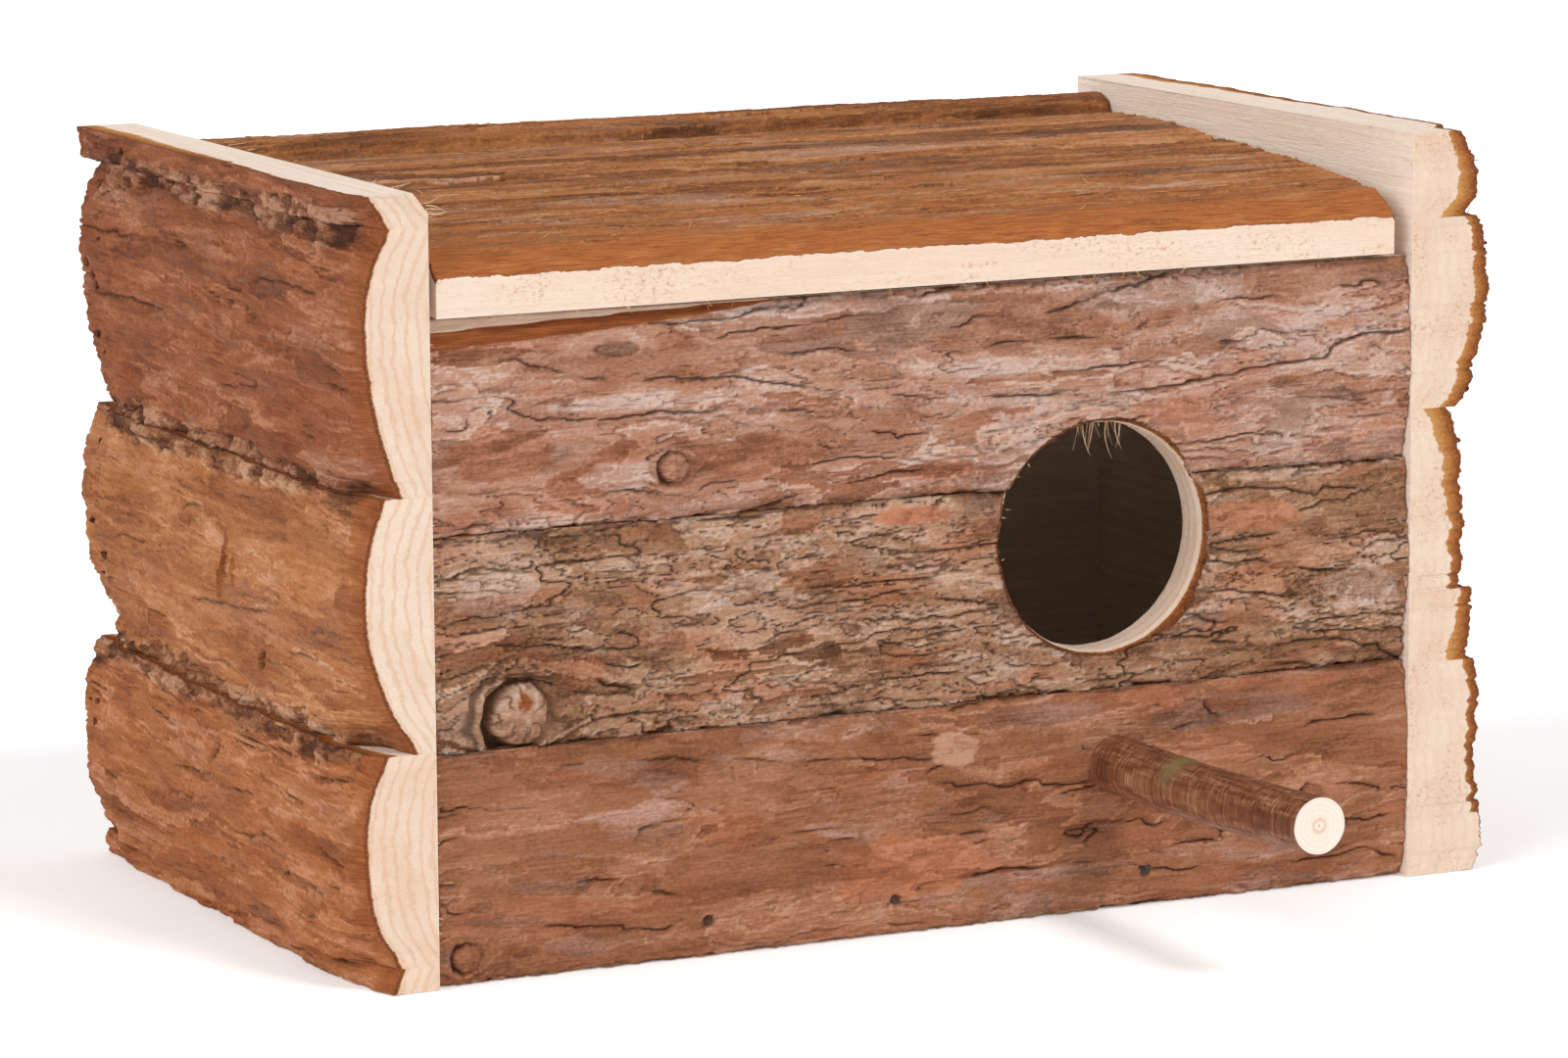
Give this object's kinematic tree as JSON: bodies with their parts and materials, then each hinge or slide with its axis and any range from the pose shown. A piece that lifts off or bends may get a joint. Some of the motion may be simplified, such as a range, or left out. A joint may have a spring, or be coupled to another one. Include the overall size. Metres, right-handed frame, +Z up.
{
  "type": "birdhouse",
  "caption": "Small nest box of bark-covered slab wood with a round entry hole, a twig perch and a lid that swings up between the end panels.",
  "frame": {"origin": "centre of the base, on the surface that the box stands on, midway between the end panels' inner faces and midway from the front wall's face to the back wall's face", "axes": "+X to the right seen from the front, along the long side; +Y to the back; +Z up"},
  "size_m": [0.2139, 0.1933, 0.13],
  "materials": {
    "bark_slab": "rough bark, with cream sawn ends",
    "cut_wood": "sawn",
    "twig": "satin bark",
    "steel": "zinc plated"
  },
  "bodies": {
    "box": {"back_floor_brads": "steel", "back_slab_bottom": "bark_slab", "back_slab_middle": "bark_slab", "back_slab_top": "bark_slab", "floor_board": "cut_wood", "front_floor_brads": "steel", "front_slab_bottom": "bark_slab", "front_slab_middle": "bark_slab", "front_slab_top": "bark_slab", "left_end_brads": "steel", "left_end_slab_bottom": "bark_slab", "left_end_slab_lower": "bark_slab", "left_end_slab_middle": "bark_slab", "left_end_slab_top": "bark_slab", "left_end_slab_upper": "bark_slab", "left_hinge_nail": "steel", "perch": "twig", "perch_screw": "steel", "perch_washer": "steel", "right_end_brads": "steel", "right_end_slab_bottom": "bark_slab", "right_end_slab_lower": "bark_slab", "right_end_slab_middle": "bark_slab", "right_end_slab_top": "bark_slab", "right_end_slab_upper": "bark_slab", "right_hinge_nail": "steel", "roof_back_slab": "bark_slab", "roof_slab_brads": "steel"},
    "lid": {"lid_back_slab": "bark_slab", "lid_front_slab": "bark_slab"}
  },
  "joints": [
    {"name": "lid_hinge", "type": "hinge", "parent": "box", "child": "lid", "pos_m": [0, 0.034, 0.1185], "axis": [-1, 0, 0], "range_deg": [0, 105]}
  ]
}
